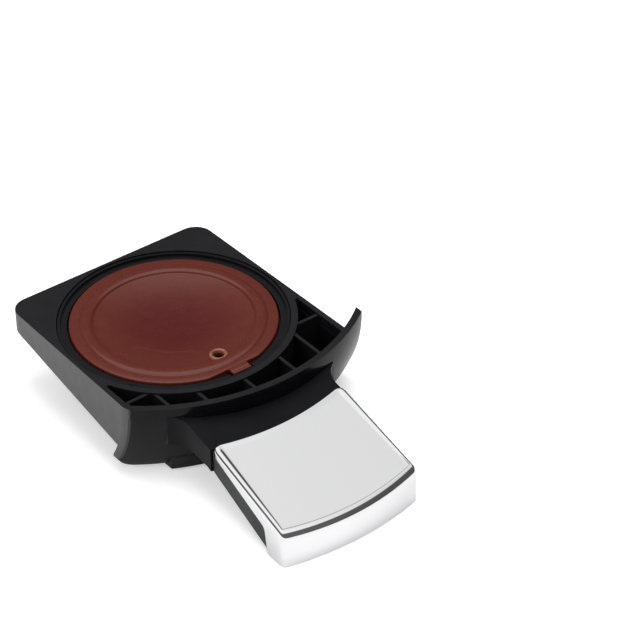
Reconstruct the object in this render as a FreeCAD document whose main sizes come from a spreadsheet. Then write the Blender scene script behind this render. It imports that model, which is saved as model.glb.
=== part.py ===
import FreeCAD, Part
import math
import os
import Sketcher

# Pod drawer of a pod coffee machine, with the refillable pod that sits in it.
# Millimetres, +Z up. The pod's axis is the Z axis, the handle points along -Y, and Z = 0 is the plane
# that the drawer stands on: the foot of the cradle and the front lower edge of the handle.

doc = FreeCAD.newDocument("PodDrawer")
sheet = doc.addObject("Spreadsheet::Sheet", "Sizes")

driving = {
    # drawer frame
    "deckTop": 23.9, "deckBack": 31.1, "deckHalfBack": 30.6, "deckHalfFront": 31.6,
    "deckCorner": 5.0, "deckThick": 2.0, "wallThick": 1.6,
    "skirtBackLow": 18.8, "skirtFrontLow": 5.6,
    "cellBack": -13.2, "floorTop": 12.6, "floorThick": 1.2, "crossRibY": -21.6,
    "ribThick": 0.9, "ribDrop": 0.4,
    "ribA": -22.0, "ribB": -13.3, "ribC": -1.0, "ribD": 11.3, "ribE": 20.3,
    "ringIn": 30.2, "ringOut": 32.0, "ringLow": 11.0, "stepIn": 28.4, "stepThick": 1.2,
    # front panel
    "panelX": 6.2, "panelY": 17.2, "panelRadius": 56.2, "panelThick": 1.9, "panelLeft": 31.6,
    "panelRound": 5.0,
    "panelRight": 39.4, "panelHigh": 22.2, "panelBend": 35.0, "panelCorner": 4.5,
    # root, neck and tongue that carry the handle
    "rootHalf": 20.5, "rootLow": 0.9, "rootBack": -18.0, "rootSet": 6.0, "rootClear": 0.8,
    "neckFlare": 3.5, "flareBend": 6.1,
    "neckTopBack": 23.4, "neckTopFront": 17.0, "neckLowBack": 13.2, "neckBack": -27.0, "neckHollow": 60.0,
    "tongueHalf": 17.2, "tongueRoot": 3.5, "tongueThick": 3.0, "tongueFront": -63.0,
    # handle
    "gripHalf": 21.0, "gripBackHalf": 20.3, "gripBack": -46.2, "gripFront": -76.3, "gripBend": 80.0,
    "gripTop": 19.1, "gripTopSlope": 0.30, "gripSlope": 0.4417, "gripLow": 11.5, "gripLowAt": -42.0,
    "seamBack": 17.5, "seamAt": -43.2, "seamSlope": 0.4265, "stripEnd": -66.6,
    "coverThick": 1.3, "shellFloor": 2.4, "shellInset": 0.6, "gap": 0.15,
    # screws
    "screwX": 11.0, "coverScrewY": -57.0, "rootScrewX": 12.0, "rootScrewY": -48.5,
    "screwRadius": 1.25, "headRadius": 2.5, "headHigh": 1.3, "seatDepth": 1.4, "bossRadius": 3.0,
    "bossTop": 9.3, "screwGrip": 3.0,
    # cradle
    "cradleRim": 30.0, "cradleRimIn": 29.2, "rimTop": 23.6, "landTop": 22.9, "landIn": 27.5,
    "strapBayLow": 21.8, "strapBaySide": 0.6, "rimNotchX": -24.3, "rimNotchY": -17.0, "rimNotch": 1.1,
    "rimNotchDeep": 0.8, "ledgeTop": 20.9, "ledgeThick": 1.0,
    "wellRadius": 24.1, "wellLow": 16.5, "cradleThick": 1.1, "footRadius": 19.5, "footThick": 1.4,
    "outletRadius": 12.0, "hookWide": 6.0, "hookThick": 1.0, "hookLip": 0.8,
    # pod
    "podRadius": 27.0, "cupFlange": 1.2, "cupMouth": 22.8, "cupWall": 0.8, "mouthLow": 17.4,
    "cupBase": 16.6, "cupLow": 2.4, "cupFloor": 1.2, "drainRadius": 1.0,
    "meshStep": 0.8, "meshStepWide": 1.1,
    "meshRadius": 15.9, "meshThick": 0.3, "meshRingWide": 1.2, "meshRingHigh": 1.5, "meshHole": 0.55,
    "lidTop": 23.4, "lidFlange": 1.2, "lidRingOut": 24.0, "lidRingIn": 21.2, "lidRingHigh": 0.35,
    "dishRadius": 20.8, "dishFlat": 2.0, "dishDepth": 1.0, "dishEdge": 0.15, "dishThick": 1.1,
    "plugOut": 22.2, "plugIn": 21.3, "plugLow": 18.5, "chordY": 25.9,
    "needleY": -19.5, "needleRadius": 1.5, "bossRing": 2.4, "bossRise": 0.5,
    "sealDeep": 0.5, "sealLow": 20.2, "sealHigh": 1.0, "sealProud": 0.25,
    "screenLow": 18.5, "screenThick": 0.7, "screenHole": 0.5,
    "strapX": 1.2, "strapHalf": 2.8, "strapThick": 0.7, "strapLow": 22.5, "strapOut": 28.4,
    "beadRadius": 0.45,
}
for row, (alias, number) in enumerate(driving.items(), start=1):
    sheet.set("A%d" % row, alias)
    sheet.set("B%d" % row, str(number))
    sheet.setAlias("B%d" % row, alias)
doc.recompute()


class Size:
    """A number together with the sheet expression that it comes from."""

    def __init__(self, number, text):
        self.number = number
        self.text = text

    def join(self, other, sign, number):
        return Size(number, "(%s %s %s)" % (self.text, sign, other.text))

    def __add__(self, other):
        other = asSize(other)
        return self.join(other, "+", self.number + other.number)

    def __sub__(self, other):
        other = asSize(other)
        return self.join(other, "-", self.number - other.number)

    def __mul__(self, other):
        other = asSize(other)
        return self.join(other, "*", self.number * other.number)

    def __truediv__(self, other):
        other = asSize(other)
        return self.join(other, "/", self.number / other.number)

    def __neg__(self):
        return Size(-self.number, "(-1 * %s)" % self.text)


def asSize(value):
    return value if isinstance(value, Size) else Size(float(value), repr(float(value)))


def root(value):
    return Size(math.sqrt(value.number), "sqrt(%s)" % value.text)


def leg(radius, other):
    """Second leg of a right triangle whose long side is radius."""
    return root(radius * radius - other * other)


class Sheet:
    """Reads a named cell as a Size."""

    def __getattr__(self, alias):
        return Size(float(sheet.get(alias)), "Sizes." + alias)


z = Sheet()


# ---- sketches -------------------------------------------------------------------------------------

def place(sketch, geometry, end, point):
    """Fixes one end of a line or the centre of a circle at a point given by sizes."""
    for kind, value in (("DistanceX", point[0]), ("DistanceY", point[1])):
        index = sketch.addConstraint(Sketcher.Constraint(kind, -1, 1, geometry, end, value.number))
        sketch.setExpression("Constraints[%d]" % index, value.text)


def setRadius(sketch, geometry, radius):
    index = sketch.addConstraint(Sketcher.Constraint("Radius", geometry, radius.number))
    sketch.setExpression("Constraints[%d]" % index, radius.text)


def arcThrough(start, finish, radius, side):
    """Arc between two points; side is +1 where it bulges to the right of the way from start."""
    middle = (start + finish) * 0.5
    chord = finish - start
    reach = math.sqrt(max(radius ** 2 - (chord.Length / 2) ** 2, 0.0))
    right = FreeCAD.Vector(chord.y, -chord.x, 0).normalize()
    centre = middle - right * (side * reach)
    first, last = (start, finish) if side > 0 else (finish, start)
    angles = [math.atan2(p.y - centre.y, p.x - centre.x) for p in (first, last)]
    return Part.ArcOfCircle(Part.Circle(centre, FreeCAD.Vector(0, 0, 1), radius), angles[0], angles[1])


def outline(sketch, corners):
    """Closed outline. A corner is (x, y), or (x, y, radius, side) where an arc leaves it."""
    corners = [tuple(asSize(v) if i < 3 else v for i, v in enumerate(c)) for c in corners]
    spots = [FreeCAD.Vector(c[0].number, c[1].number, 0) for c in corners]
    first = sketch.GeometryCount
    ends = []
    for i, corner in enumerate(corners):
        start, finish = spots[i], spots[(i + 1) % len(spots)]
        if len(corner) == 2:
            index = sketch.addGeometry(Part.LineSegment(start, finish))
            ends.append((index, 1, 2))
            continue
        index = sketch.addGeometry(arcThrough(start, finish, corner[2].number, corner[3]))
        ends.append((index, 1, 2) if corner[3] > 0 else (index, 2, 1))
    for i in range(len(corners)):
        here, after = ends[i], ends[(i + 1) % len(ends)]
        sketch.addConstraint(Sketcher.Constraint("Coincident", here[0], here[2], after[0], after[1]))
    for i, corner in enumerate(corners):
        place(sketch, ends[i][0], ends[i][1], corner[:2])
    for i, corner in enumerate(corners):
        if len(corner) == 4:
            setRadius(sketch, first + i, corner[2])


def circle(sketch, x, y, radius):
    x, y, radius = asSize(x), asSize(y), asSize(radius)
    spot = FreeCAD.Vector(x.number, y.number, 0)
    index = sketch.addGeometry(Part.Circle(spot, FreeCAD.Vector(0, 0, 1), radius.number))
    place(sketch, index, 3, (x, y))
    setRadius(sketch, index, radius)


def sketchOn(body, name, plane, lift=None):
    """Sketch on one of the body's own origin planes, moved along that plane's normal by lift."""
    sketch = body.newObject("Sketcher::SketchObject", name)
    support = next(f for f in body.Origin.OriginFeatures if f.Role == plane + "_Plane")
    sketch.AttachmentSupport = [(support, "")]
    sketch.MapMode = "FlatFace"
    if lift is not None:
        sketch.setExpression(".AttachmentOffset.Base.z", lift.text)
    return sketch


# ---- features -------------------------------------------------------------------------------------

def newBody(name):
    body = doc.addObject("PartDesign::Body", name)
    body.Label = name
    return body


def feature(body, kind, name, sketch, length, both=False, flip=False):
    item = body.newObject("PartDesign::" + kind, name)
    item.Profile = sketch
    item.setExpression("Length", asSize(length).text)
    item.Reversed = flip
    if both:
        item.SideType = "Symmetric"
    sketch.Visibility = False
    return item


def pad(body, name, sketch, length, both=False, flip=False):
    """Adds material along the sketch's normal, or against it where flip is set."""
    item = feature(body, "Pad", name, sketch, length, both, flip)
    doc.recompute()
    return item


def cut(body, name, sketch, length, both=False, flip=False):
    """Takes material away against the sketch's normal, or along it where flip is set."""
    before = body.Shape.Volume
    item = feature(body, "Pocket", name, sketch, length, both, flip)
    doc.recompute()
    if body.Shape.Volume > before - 1e-3:
        raise ValueError("cut takes nothing away: " + name)
    return item


def turn(body, name, corners):
    """Solid of revolution about Z from an outline in radius and height."""
    sketch = sketchOn(body, name + "Section", "XZ")
    outline(sketch, corners)
    item = body.newObject("PartDesign::Revolution", name)
    item.Profile = sketch
    item.ReferenceAxis = (sketch, ["V_Axis"])
    item.Angle = 360.0
    sketch.Visibility = False
    doc.recompute()
    return item


def around(body, name, original, count):
    """Repeats a feature about the Z axis."""
    item = body.newObject("PartDesign::PolarPattern", name)
    item.Originals = [original]
    axis = next(f for f in body.Origin.OriginFeatures if f.Role == "Z_Axis")
    item.Axis = (axis, [""])
    item.Angle = 360.0
    item.Occurrences = count
    body.Tip = item
    doc.recompute()
    return item


# ---- shared places --------------------------------------------------------------------------------

stepTop = z.ledgeTop - z.ledgeThick
panelInner = z.panelRadius - z.panelThick
panelMiddle = z.panelRadius - z.panelThick / 2
panelLow = z.deckTop - z.panelHigh
panelCurl = z.panelBend - leg(z.panelBend, z.panelHigh)
ringMiddle = (z.ringIn + z.ringOut) / 2
cupSlope = (z.cupMouth + z.cupWall - z.cupBase) / (z.mouthLow - z.cupLow)
cupInside = z.cupLow + z.cupFloor
meshLow = cupInside + z.meshStep


def panelLine(x, radius):
    """Y of the panel's plan arc of this radius at x."""
    return z.panelY - leg(radius, asSize(x) - z.panelX)


def underside(y):
    return z.gripLow + (asSize(y) - z.gripLowAt) * z.gripSlope


def gripCrown(y):
    return z.gripTop + (asSize(y) + 44.0) * z.gripTopSlope


def seamLine(y):
    return z.seamBack + (asSize(y) - z.seamAt) * z.seamSlope


def backLine(half):
    """Y of the arc on which the cover's back edge lies, at this distance from the middle."""
    return z.gripBack + z.gripBend - leg(z.gripBend, half)


def upright(normal):
    """Height that a thickness square to the handle's underside takes along Z."""
    return normal * root(z.gripSlope * z.gripSlope + 1.0)


def framePlan(inset, front):
    """Plan of the frame's walls, set in by inset, with the arc of radius front for its front side."""
    inset = asSize(inset)
    corner = z.deckCorner - inset
    back, half, nose = z.deckBack - inset, z.deckHalfBack - inset, z.deckHalfFront - inset
    return [
        (-half + corner, back), (half - corner, back, corner, -1), (half, back - corner),
        (nose, panelLine(nose, front), front, -1), (-nose, panelLine(-nose, front)),
        (-half, back - corner, corner, -1),
    ]


# ---- drawer frame ---------------------------------------------------------------------------------

def makeFrame():
    body = newBody("FrameMoulding")
    low = panelLow

    deck = sketchOn(body, "DeckPlan", "XY", z.deckTop)
    outline(deck, framePlan(0.0, panelMiddle))
    pad(body, "Block", deck, z.deckTop - low, flip=True)
    hollow = sketchOn(body, "HollowPlan", "XY", low)
    outline(hollow, framePlan(z.wallThick, panelInner))
    cut(body, "Hollow", hollow, z.deckTop - z.deckThick - low, flip=True)

    inner = z.deckHalfFront - z.wallThick
    front = [
        (-inner, z.cellBack), (inner, z.cellBack), (inner, panelLine(inner, panelInner), panelInner, -1),
        (-inner, panelLine(-inner, panelInner)),
    ]
    cells = sketchOn(body, "CellPlan", "XY", z.deckTop)
    outline(cells, front)
    cut(body, "Cells", cells, z.deckThick + 1.0)
    floor = sketchOn(body, "FloorPlan", "XY", z.floorTop)
    outline(floor, front)
    pad(body, "CellFloor", floor, z.floorThick, flip=True)

    wide = z.deckHalfBack - 0.3
    deep = z.deckBack - 0.3
    ring = sketchOn(body, "RingPlan", "XY", z.deckTop)
    outline(ring, [
        (-leg(z.ringOut, deep), deep), (leg(z.ringOut, deep), deep, z.ringOut, -1),
        (wide, leg(z.ringOut, wide)), (wide, -leg(z.ringOut, wide), z.ringOut, -1),
        (-wide, -leg(z.ringOut, wide)), (-wide, leg(z.ringOut, wide), z.ringOut, -1),
    ])
    pad(body, "RingWall", ring, z.deckTop - z.ringLow, flip=True)

    ribs = sketchOn(body, "RibPlan", "XY", z.deckTop - z.ribDrop)
    for x in (z.ribA, z.ribB, z.ribC, z.ribD, z.ribE):
        left, right = x - z.ribThick / 2, x + z.ribThick / 2
        behind, ahead = -leg(ringMiddle, x), panelLine(x, panelMiddle)
        outline(ribs, [(left, behind), (right, behind), (right, ahead), (left, ahead)])
    pad(body, "Ribs", ribs, z.deckTop - z.ribDrop - z.floorTop + 0.5, flip=True)
    cross = sketchOn(body, "CrossRibPlan", "XY", z.deckTop - z.ribDrop)
    for side in (-1, 1):
        near = leg(ringMiddle, z.crossRibY) * side
        far = (z.deckHalfFront - z.wallThick / 2) * side
        high, lower = z.crossRibY + z.ribThick / 2, z.crossRibY - z.ribThick / 2
        outline(cross, [(near, high), (far, high), (far, lower), (near, lower)])
    pad(body, "CrossRibs", cross, z.deckTop - z.ribDrop - z.floorTop + 0.5, flip=True)

    well = sketchOn(body, "WellPlan", "XY", z.deckTop + 1.0)
    circle(well, 0, 0, z.ringIn)
    cut(body, "Well", well, z.deckTop)
    step = sketchOn(body, "StepPlan", "XY", stepTop)
    circle(step, 0, 0, z.ringIn + 0.3)
    circle(step, 0, 0, z.stepIn)
    pad(body, "Step", step, z.stepThick, flip=True)

    slope = sketchOn(body, "SkirtSlope", "YZ")
    behind, ahead, below = z.deckBack + 2.0, z.panelY - z.panelRadius - 3.0, low - 1.0
    outline(slope, [(behind, z.skirtBackLow), (ahead, z.skirtFrontLow), (ahead, below), (behind, below)])
    cut(body, "Slope", slope, z.deckHalfFront * 4, both=True)

    makePanel(body)
    makeRootBlock(body)
    whole = joined("Fuse", "FrameWithNeck", body, makeNeck())
    below, above = z.shellFloor - 1.0, z.shellFloor + z.tongueThick + 1.0
    holes = [
        rod("TongueHole%d" % i, z.screwRadius + z.gap, below, above, x, y)
        for i, (x, y) in enumerate(screwPlaces())]
    return named(joined("Cut", "drawer_frame", whole, group("TongueHoles", holes)))


def panelFace():
    """Outline corners of the panel's outer face in plan, with its rounded corner at the left wall."""
    left, bend = -z.panelLeft, z.panelRound
    share = z.panelRadius / (z.panelRadius - bend)
    middleX = left + bend
    middleY = panelLine(middleX, z.panelRadius - bend)
    return [
        (left, middleY, bend, 1),
        (z.panelX + (middleX - z.panelX) * share, z.panelY + (middleY - z.panelY) * share, z.panelRadius, 1),
        (z.panelRight, panelLine(z.panelRight, z.panelRadius)),
    ]


def alongPanel(body, kind, name, corners):
    """Carries a plan outline down the section in which the panel curls in towards its lower edge."""
    plan = sketchOn(body, name + "Plan", "XY", z.deckTop)
    outline(plan, corners)
    path = sketchOn(body, name + "Section", "YZ")
    start = FreeCAD.Vector(0, z.deckTop.number, 0)
    finish = FreeCAD.Vector(panelCurl.number, panelLow.number, 0)
    path.addGeometry(arcThrough(start, finish, z.panelBend.number, 1))
    place(path, 0, 1, (asSize(0), z.deckTop))
    place(path, 0, 2, (panelCurl, panelLow))
    setRadius(path, 0, z.panelBend)
    sweep = body.newObject("PartDesign::" + kind, name)
    sweep.Profile = plan
    sweep.Spine = (path, ["Edge1"])
    sweep.Mode = "Fixed"
    plan.Visibility = False
    doc.recompute()


def makePanel(body):
    left, right = -z.panelLeft, z.panelRight
    front, beside = z.panelY - z.panelRadius - panelCurl - 1.0, left - 2.0
    face = panelFace()
    alongPanel(body, "SubtractivePipe", "FaceTrim",
               face + [(right, front), (beside, front), (beside, face[0][1])])
    alongPanel(body, "AdditivePipe", "Panel", face + [
        (right, panelLine(right, panelInner), panelInner, -1),
        (left + z.panelThick, panelLine(left + z.panelThick, panelInner)),
        (left + z.panelThick, face[0][1]),
    ])

    ends = sketchOn(body, "PanelCorners", "XZ")
    rim = z.panelCorner
    for edge, side in ((left, 1), (right, -1)):
        out = edge - asSize(side)
        outline(ends, [
            (edge, panelLow + rim, rim, side), (edge + rim * side, panelLow),
            (edge + rim * side, panelLow - 1.0), (out, panelLow - 1.0), (out, panelLow + rim),
        ])
    cut(body, "CornerRounds", ends, z.panelRadius, flip=True)


def makeRootBlock(body):
    """Block under the panel that backs the neck, cut out round the cradle."""
    half = z.rootHalf
    top = z.floorTop - z.floorThick / 2
    block = sketchOn(body, "RootPlan", "XY", top)
    clear = z.wellRadius + z.cradleThick + z.rootClear
    bay = leg(clear, z.rootBack)
    outline(block, [
        (-half, z.rootBack), (-bay, z.rootBack, clear, 1), (bay, z.rootBack), (half, z.rootBack),
        (half, panelLine(half, z.panelRadius) + z.rootSet, z.panelRadius, -1),
        (-half, panelLine(-half, z.panelRadius) + z.rootSet),
    ])
    pad(body, "RootBlock", block, top - z.rootLow, flip=True)


def makeNeck():
    """Neck that grows out of the panel's face, flaring towards it, and the tongue inside the handle."""
    body = newBody("NeckMoulding")
    reach = z.gripBack - 1.0
    neck = sketchOn(body, "NeckSection", "YZ")
    outline(neck, [
        (z.neckBack, z.neckLowBack), (z.neckBack, z.neckTopBack, z.neckHollow, -1),
        (reach, z.neckTopFront), (reach, underside(reach)), (z.gripLowAt, underside(z.gripLowAt)),
    ])
    flare = z.gripBackHalf + z.neckFlare
    pad(body, "Neck", neck, flare * 2, both=True)

    sides = sketchOn(body, "NeckSides", "XY", z.deckTop)
    for side in (-1, 1):
        near, wide, far = z.gripBackHalf * side, flare * side, (flare + 1.0) * side
        finish = panelLine(wide, z.panelRadius)
        start = finish - leg(z.flareBend, z.flareBend - z.neckFlare)
        outline(sides, [
            (near, reach - 1.0), (near, start, z.flareBend, -side), (wide, finish), (far, finish),
            (far, reach - 1.0),
        ])
    cut(body, "NeckFlare", sides, z.deckTop * 2)
    front = flare + 1.0
    trim = sketchOn(body, "NeckTrim", "XY", z.deckTop)
    line = backLine(front) + z.gap
    outline(trim, [
        (-front, line, z.gripBend, 1), (front, line), (front, z.gripFront), (-front, z.gripFront),
    ])
    cut(body, "NeckFront", trim, z.deckTop * 2)
    alongPanel(body, "SubtractivePipe", "NeckBack", [
        (-front, panelLine(-front, panelMiddle), panelMiddle, 1), (front, panelLine(front, panelMiddle)),
        (front, z.rootBack), (-front, z.rootBack),
    ])

    low, high = upright(z.shellFloor), upright(z.shellFloor + z.tongueThick)
    behind = z.gripBack + z.tongueRoot
    tongue = sketchOn(body, "TongueSection", "YZ")
    outline(tongue, [
        (behind, underside(behind) + low), (z.tongueFront, underside(z.tongueFront) + low),
        (z.tongueFront, underside(z.tongueFront) + high), (behind, underside(behind) + high),
    ])
    pad(body, "Tongue", tongue, z.tongueHalf * 2, both=True)
    return body


def screwPlaces():
    return [(x, z.coverScrewY) for x in (-z.screwX, z.screwX)] + \
           [(x, z.rootScrewY) for x in (-z.rootScrewX, z.rootScrewX)]


# ---- cradle ---------------------------------------------------------------------------------------

def makeCradle():
    body = newBody("pod_cradle")
    thick = z.cradleThick
    inner = z.footRadius - thick
    turn(body, "Cradle", [
        (z.outletRadius, 0), (z.footRadius, 0), (z.wellRadius + thick, z.wellLow),
        (z.wellRadius + thick, stepTop), (z.cradleRim, stepTop), (z.cradleRim, z.rimTop),
        (z.cradleRimIn, z.rimTop), (z.cradleRimIn, z.landTop), (z.landIn, z.landTop),
        (z.landIn, z.ledgeTop), (z.wellRadius, z.ledgeTop),
        (z.wellRadius, z.wellLow), (inner, z.footThick), (z.outletRadius, z.footThick),
    ])
    # Bay in which the pod's strap swings, and a notch in the rim.
    bay = sketchOn(body, "StrapBayPlan", "XY", z.landTop)
    half = z.strapHalf + z.strapBaySide
    outline(bay, [
        (z.strapX - half, -z.cradleRimIn + 0.6), (z.strapX + half, -z.cradleRimIn + 0.6),
        (z.strapX + half, -z.landIn + 1.5), (z.strapX - half, -z.landIn + 1.5),
    ])
    cut(body, "StrapBay", bay, z.landTop - z.strapBayLow)
    notch = sketchOn(body, "RimNotchPlan", "XY", z.rimTop)
    west, east = z.rimNotchX - z.rimNotch, z.rimNotchX + z.rimNotch
    south, north = z.rimNotchY - z.rimNotch, z.rimNotchY + z.rimNotch
    outline(notch, [(west, south), (east, south), (east, north), (west, north)])
    cut(body, "RimNotch", notch, z.rimNotchDeep)
    # Snap hook: a leg down through the frame's step, with a lip that catches under it.
    legOut = z.stepIn - z.gap
    legIn = legOut - z.hookThick
    hookLow = stepTop - z.stepThick - z.gap
    hook = sketchOn(body, "HookSection", "XZ")
    outline(hook, [
        (legIn, stepTop + 0.2), (legIn, hookLow - z.hookLip), (legOut, hookLow - z.hookLip),
        (legOut + z.hookLip, hookLow), (legOut, hookLow), (legOut, stepTop + 0.2),
    ])
    around(body, "Hooks", pad(body, "Hook", hook, z.hookWide, both=True), 4)
    return body


# ---- handle ---------------------------------------------------------------------------------------

def flatSketch(name, side):
    """Free sketch in plan, or in the YZ plane where side is set."""
    sketch = doc.addObject("Sketcher::SketchObject", name)
    if side:
        turned = FreeCAD.Rotation(FreeCAD.Vector(1, 1, 1), 120)
        sketch.Placement = FreeCAD.Placement(FreeCAD.Vector(), turned)
    return sketch


def prism(name, sketch, direction, length, both=False):
    item = doc.addObject("Part::Extrusion", name)
    item.Base = sketch
    item.DirMode = "Custom"
    item.Dir = FreeCAD.Vector(*direction)
    item.setExpression("LengthFwd", asSize(length).text)
    item.Solid = True
    item.Symmetric = both
    return item


def joined(kind, name, first, second):
    item = doc.addObject("Part::" + kind, name)
    item.Base = first
    item.Tool = second
    doc.recompute()
    return item


def gripPlan(name, inset, back):
    """Plan of the handle, set in by inset, from the arc that starts back behind the cover's edge."""
    inset, back = asSize(inset), asSize(back)
    half, tail = z.gripHalf - inset, z.gripBackHalf - inset
    bend = z.gripBend - inset
    nose = z.gripFront + inset + bend - leg(bend, half)
    sketch = flatSketch(name, False)
    line = backLine(tail) - back
    outline(sketch, [(-half, nose, bend, 1), (half, nose), (tail, line, z.gripBend, -1), (-tail, line)])
    return prism(name + "Prism", sketch, (0, 0, 1), z.deckTop)


def gripSection(name, corners):
    sketch = flatSketch(name, True)
    outline(sketch, corners)
    return prism(name + "Prism", sketch, (1, 0, 0), z.gripHalf * 3, both=True)


def rod(name, radius, low, high, x, y):
    """Cylinder square to the handle's underside, from low to high above it."""
    item = doc.addObject("Part::Cylinder", name)
    item.setExpression("Radius", radius.text)
    item.setExpression("Height", (high - low).text)
    stretch = root(z.gripSlope * z.gripSlope + 1.0)
    spotY = y - low * z.gripSlope / stretch
    spotZ = underside(y) + low / stretch
    turned = FreeCAD.Rotation(FreeCAD.Vector(1, 0, 0), math.degrees(math.atan(z.gripSlope.number)))
    item.Placement = FreeCAD.Placement(FreeCAD.Vector(x.number, spotY.number, spotZ.number), turned)
    item.setExpression(".Placement.Rotation.Angle", "atan(Sizes.gripSlope)")
    for axis, value in (("x", x), ("y", spotY), ("z", spotZ)):
        item.setExpression(".Placement.Base." + axis, value.text)
    return item


def named(item):
    item.Label = item.Name
    return item


def group(name, pieces):
    item = doc.addObject("Part::MultiFuse", name)
    item.Shapes = pieces
    doc.recompute()
    return item


def makeHandle():
    back, front = z.gripBack + 8.0, z.gripFront - 2.0
    nose = z.gripFront + z.coverThick + z.gap
    lap = z.stripEnd

    outer = joined("Common", "CoverBlock", gripPlan("CoverPlan", 0.0, 0.0), gripSection("CoverSide", [
        (back, seamLine(back)), (back, gripCrown(back)), (front, gripCrown(front)), (front, 0),
        (lap - 1.5, 0), (lap, underside(lap)), (lap, seamLine(lap)),
    ]))
    inner = joined("Common", "CoverSpace", gripPlan("SpacePlan", z.coverThick, -z.gripHalf),
                   gripSection("SpaceSide", [
                       (back, -1), (back, gripCrown(back) - z.coverThick),
                       (front, gripCrown(front) - z.coverThick), (front, -1)]))
    shell = joined("Cut", "CoverShell", outer, inner)
    tongueTop = z.shellFloor + z.tongueThick
    posts = group("CoverPosts", [
        rod("Post%d" % i, z.bossRadius, tongueTop, z.bossTop, x, z.coverScrewY)
        for i, x in enumerate((-z.screwX, z.screwX))])
    pilots = group("CoverPilots", [
        rod("Pilot%d" % i, z.screwRadius + z.gap / 3, tongueTop - 0.5, tongueTop + z.screwGrip + 0.3, x,
            z.coverScrewY)
        for i, x in enumerate((-z.screwX, z.screwX))])
    cover = named(joined("Cut", "handle_cover", joined("Fuse", "CoverWithPosts", shell, posts), pilots))

    # Lower shell: its side strips show below the cover's skirt; its front part sits inside the cover.
    gap = z.gap
    block = joined("Common", "ShellBlock", gripPlan("ShellPlan", z.shellInset, 0.0),
                   gripSection("ShellSide", [
                       (back, underside(back)), (back, seamLine(back) - gap),
                       (lap + gap, seamLine(lap + gap) - gap), (lap + gap, underside(lap + gap))]))
    tip = joined("Common", "ShellTip", gripPlan("TipPlan", z.coverThick + gap, -z.gripHalf),
                 gripSection("TipSide", [
                     (lap + 2.0, underside(lap + 2.0)), (lap + 2.0, seamLine(lap + 2.0) - gap),
                     (front, seamLine(front) - gap), (front, 0), (lap - 1.5, 0), (lap, underside(lap))]))
    whole = joined("Fuse", "ShellWhole", block, tip)
    floor = upright(z.shellFloor)
    end = z.tongueFront - gap
    cavity = flatSketch("CavitySide", True)
    outline(cavity, [
        (back, underside(back) + floor), (end, underside(end) + floor),
        (end, gripCrown(end)), (back, gripCrown(back)),
    ])
    room = prism("CavityPrism", cavity, (1, 0, 0), (z.tongueHalf + gap) * 2, both=True)
    tray = joined("Cut", "ShellTray", whole, room)
    drills = []
    for i, (x, y) in enumerate(screwPlaces()):
        drills.append(rod("Drill%d" % i, z.screwRadius + gap, z.seatDepth - 0.2, z.shellFloor + 0.5, x, y))
        drills.append(rod("Sink%d" % i, z.headRadius + gap, asSize(-1.5), z.seatDepth, x, y))
    body = named(joined("Cut", "handle_body", tray, group("Drills", drills)))

    def screw(name, i, x, y, length):
        head = rod("%sHead%d" % (name, i), z.headRadius, z.seatDepth - z.headHigh, z.seatDepth, x, y)
        shank = rod("%sShank%d" % (name, i), z.screwRadius, z.seatDepth, length, x, y)
        slot = rod("%sSocket%d" % (name, i), z.headRadius / 3, asSize(-0.2), z.seatDepth - z.headHigh / 2,
                   x, y)
        solid = joined("Fuse", "%sBlank%d" % (name, i), head, shank)
        return joined("Cut", "%sSolid%d" % (name, i), solid, slot)

    places = {
        "cover_screws": (z.screwX, z.coverScrewY, tongueTop + z.screwGrip),
        "root_screws": (z.rootScrewX, z.rootScrewY, tongueTop),
    }
    screws = []
    for name, (offset, y, length) in places.items():
        pair = doc.addObject("Part::Compound", name)
        pair.Links = [screw(name, i, x, y, length) for i, x in enumerate((-offset, offset))]
        screws.append(named(pair))
    doc.recompute()
    return [cover, body] + screws


# ---- pod ------------------------------------------------------------------------------------------

def makeCup():
    body = newBody("pod_cup")
    wall = z.cupWall
    top = z.ledgeTop + z.cupFlange
    inBase = z.cupBase - wall + cupSlope * z.cupFloor
    stepRadius = inBase + cupSlope * z.meshStep
    turn(body, "Cup", [
        (z.drainRadius, z.cupLow), (z.cupBase, z.cupLow), (z.cupMouth + wall, z.mouthLow),
        (z.cupMouth + wall, z.ledgeTop), (z.podRadius, z.ledgeTop), (z.podRadius, top),
        (z.cupMouth, top), (z.cupMouth, z.mouthLow), (stepRadius, meshLow),
        (stepRadius - z.meshStepWide, meshLow), (stepRadius - z.meshStepWide, cupInside),
        (z.drainRadius, cupInside),
    ])
    trimChord(body, "CupChord", top + 1.0, z.cupFlange * 3)
    ribs = sketchOn(body, "DrainRibs", "XY", cupInside)
    outline(ribs, [(z.drainRadius * 3, -0.4), (stepRadius - 0.5, -0.4), (stepRadius - 0.5, 0.4),
                   (z.drainRadius * 3, 0.4)])
    around(body, "DrainRibRing", pad(body, "DrainRib", ribs, z.meshStep), 6)
    return body


def trimChord(body, name, high, depth):
    """Cuts the flange flat along the hinge side."""
    chord = sketchOn(body, name + "Plan", "XY", high)
    reach = z.podRadius
    outline(chord, [(-reach, -z.chordY), (reach, -z.chordY), (reach, -reach - 1.0), (-reach, -reach - 1.0)])
    cut(body, name, chord, depth)


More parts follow.
